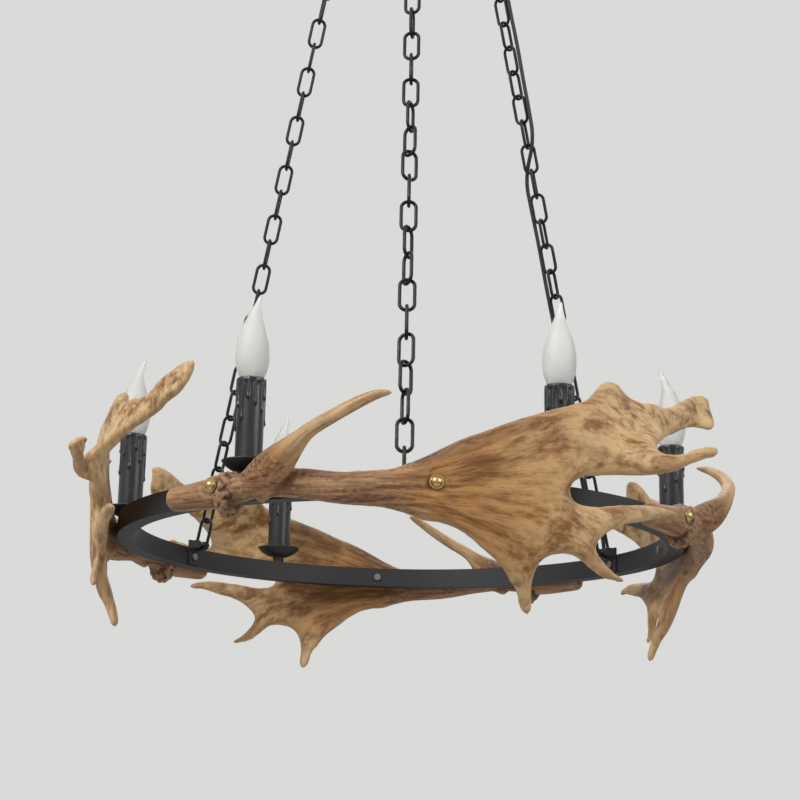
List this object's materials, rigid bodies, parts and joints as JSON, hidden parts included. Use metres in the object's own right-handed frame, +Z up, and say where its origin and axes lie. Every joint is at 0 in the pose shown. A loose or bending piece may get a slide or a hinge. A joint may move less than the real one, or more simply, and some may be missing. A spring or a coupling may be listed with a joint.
{
  "type": "antler chandelier",
  "caption": "Round steel hoop hung from a ceiling canopy on chains, ringed with cast antlers and topped with candle lamps under flame-tip bulbs.",
  "frame": {"origin": "centre of the crossbar's top face, where it meets the ceiling", "axes": "+Z up, out of the crossbar into the ceiling; the front chain hangs toward -Y and the cable's chain toward +X"},
  "size_m": [0.727, 0.727, 1.4972],
  "materials": {
    "black_steel": "powder-coated black with a fine texture, satin",
    "chain_steel": "blackened welded steel, satin",
    "zinc_steel": "zinc-plated steel, dull",
    "cable_jacket": "black cable jacket, matt",
    "black_rubber": "black rubber, matt",
    "black_plastic": "black moulded plastic, matt",
    "pale_plastic": "pale moulded plastic, matt",
    "antler_resin": "cast resin painted as antler: brown grooved beam, tan grained palm, pale tips",
    "polished_brass": "polished brass",
    "candle_plastic": "black moulded candle sleeve with wax drips, satin",
    "holder_plastic": "black thermoset lampholder, matt",
    "frosted_glass": "frosted white glass",
    "bulb_cap_metal": "pressed metal bulb cap"
  },
  "bodies": {
    "ceiling_mount": {"crossbar": "zinc_steel", "hollow_nipple": "zinc_steel", "nipple_nut": "zinc_steel", "ceiling_canopy": "black_steel", "hanging_loop": "black_steel", "terminal_block": "pale_plastic", "cord_grip": "black_rubber", "cable_drop_upper": "cable_jacket"},
    "swivel_link": {"connecting_link": "black_steel", "link_sleeve": "zinc_steel"},
    "fixture": {"top_ring": "black_steel", "cable_drop_lower": "cable_jacket", "chain_cable": "cable_jacket", "chain_front": "chain_steel", "chain_right": "chain_steel", "chain_left": "chain_steel", "chain_bracket_front": "black_steel", "chain_bracket_right": "black_steel", "chain_bracket_left": "black_steel", "hoop": "black_steel", "wiring_loom": "black_rubber", "cable_grommet": "black_rubber", "antler_front": "antler_resin", "antler_right": "antler_resin", "antler_back": "antler_resin", "antler_left": "antler_resin", "hoop_screws": "zinc_steel", "antler_spacers": "black_plastic", "brass_dome_nuts": "polished_brass", "lamp_stems": "black_steel", "lampholders": "holder_plastic", "drip_pan_a": "black_steel", "drip_pan_b": "black_steel", "drip_pan_c": "black_steel", "drip_pan_d": "black_steel", "drip_pan_e": "black_steel", "drip_pan_f": "black_steel", "candle_sleeve_a": "candle_plastic", "candle_sleeve_b": "candle_plastic", "candle_sleeve_c": "candle_plastic", "candle_sleeve_d": "candle_plastic", "candle_sleeve_e": "candle_plastic", "candle_sleeve_f": "candle_plastic"},
    "bulb_a": {"bulb_glass_a": "frosted_glass", "bulb_cap_a": "bulb_cap_metal"},
    "bulb_b": {"bulb_glass_b": "frosted_glass", "bulb_cap_b": "bulb_cap_metal"},
    "bulb_c": {"bulb_glass_c": "frosted_glass", "bulb_cap_c": "bulb_cap_metal"},
    "bulb_d": {"bulb_glass_d": "frosted_glass", "bulb_cap_d": "bulb_cap_metal"},
    "bulb_e": {"bulb_glass_e": "frosted_glass", "bulb_cap_e": "bulb_cap_metal"},
    "bulb_f": {"bulb_glass_f": "frosted_glass", "bulb_cap_f": "bulb_cap_metal"}
  },
  "joints": [
    {"name": "link_swing", "type": "hinge", "parent": "ceiling_mount", "child": "swivel_link", "pos_m": [0, 0, -0.063], "axis": [1, 0, 0], "range_deg": [-15, 15], "deforming": ["cable_drop_upper"]},
    {"name": "ring_swing", "type": "hinge", "parent": "swivel_link", "child": "fixture", "pos_m": [0, 0, -0.1007], "axis": [0, 1, 0], "range_deg": [-15, 15], "deforming": ["cable_drop_lower"]},
    {"name": "bulb_lift_a", "type": "slide", "parent": "fixture", "child": "bulb_a", "axis": [0, 0, 1], "range_m": [0, 0.03]},
    {"name": "bulb_lift_b", "type": "slide", "parent": "fixture", "child": "bulb_b", "axis": [0, 0, 1], "range_m": [0, 0.03]},
    {"name": "bulb_lift_c", "type": "slide", "parent": "fixture", "child": "bulb_c", "axis": [0, 0, 1], "range_m": [0, 0.03]},
    {"name": "bulb_lift_d", "type": "slide", "parent": "fixture", "child": "bulb_d", "axis": [0, 0, 1], "range_m": [0, 0.03]},
    {"name": "bulb_lift_e", "type": "slide", "parent": "fixture", "child": "bulb_e", "axis": [0, 0, 1], "range_m": [0, 0.03]},
    {"name": "bulb_lift_f", "type": "slide", "parent": "fixture", "child": "bulb_f", "axis": [0, 0, 1], "range_m": [0, 0.03]}
  ]
}
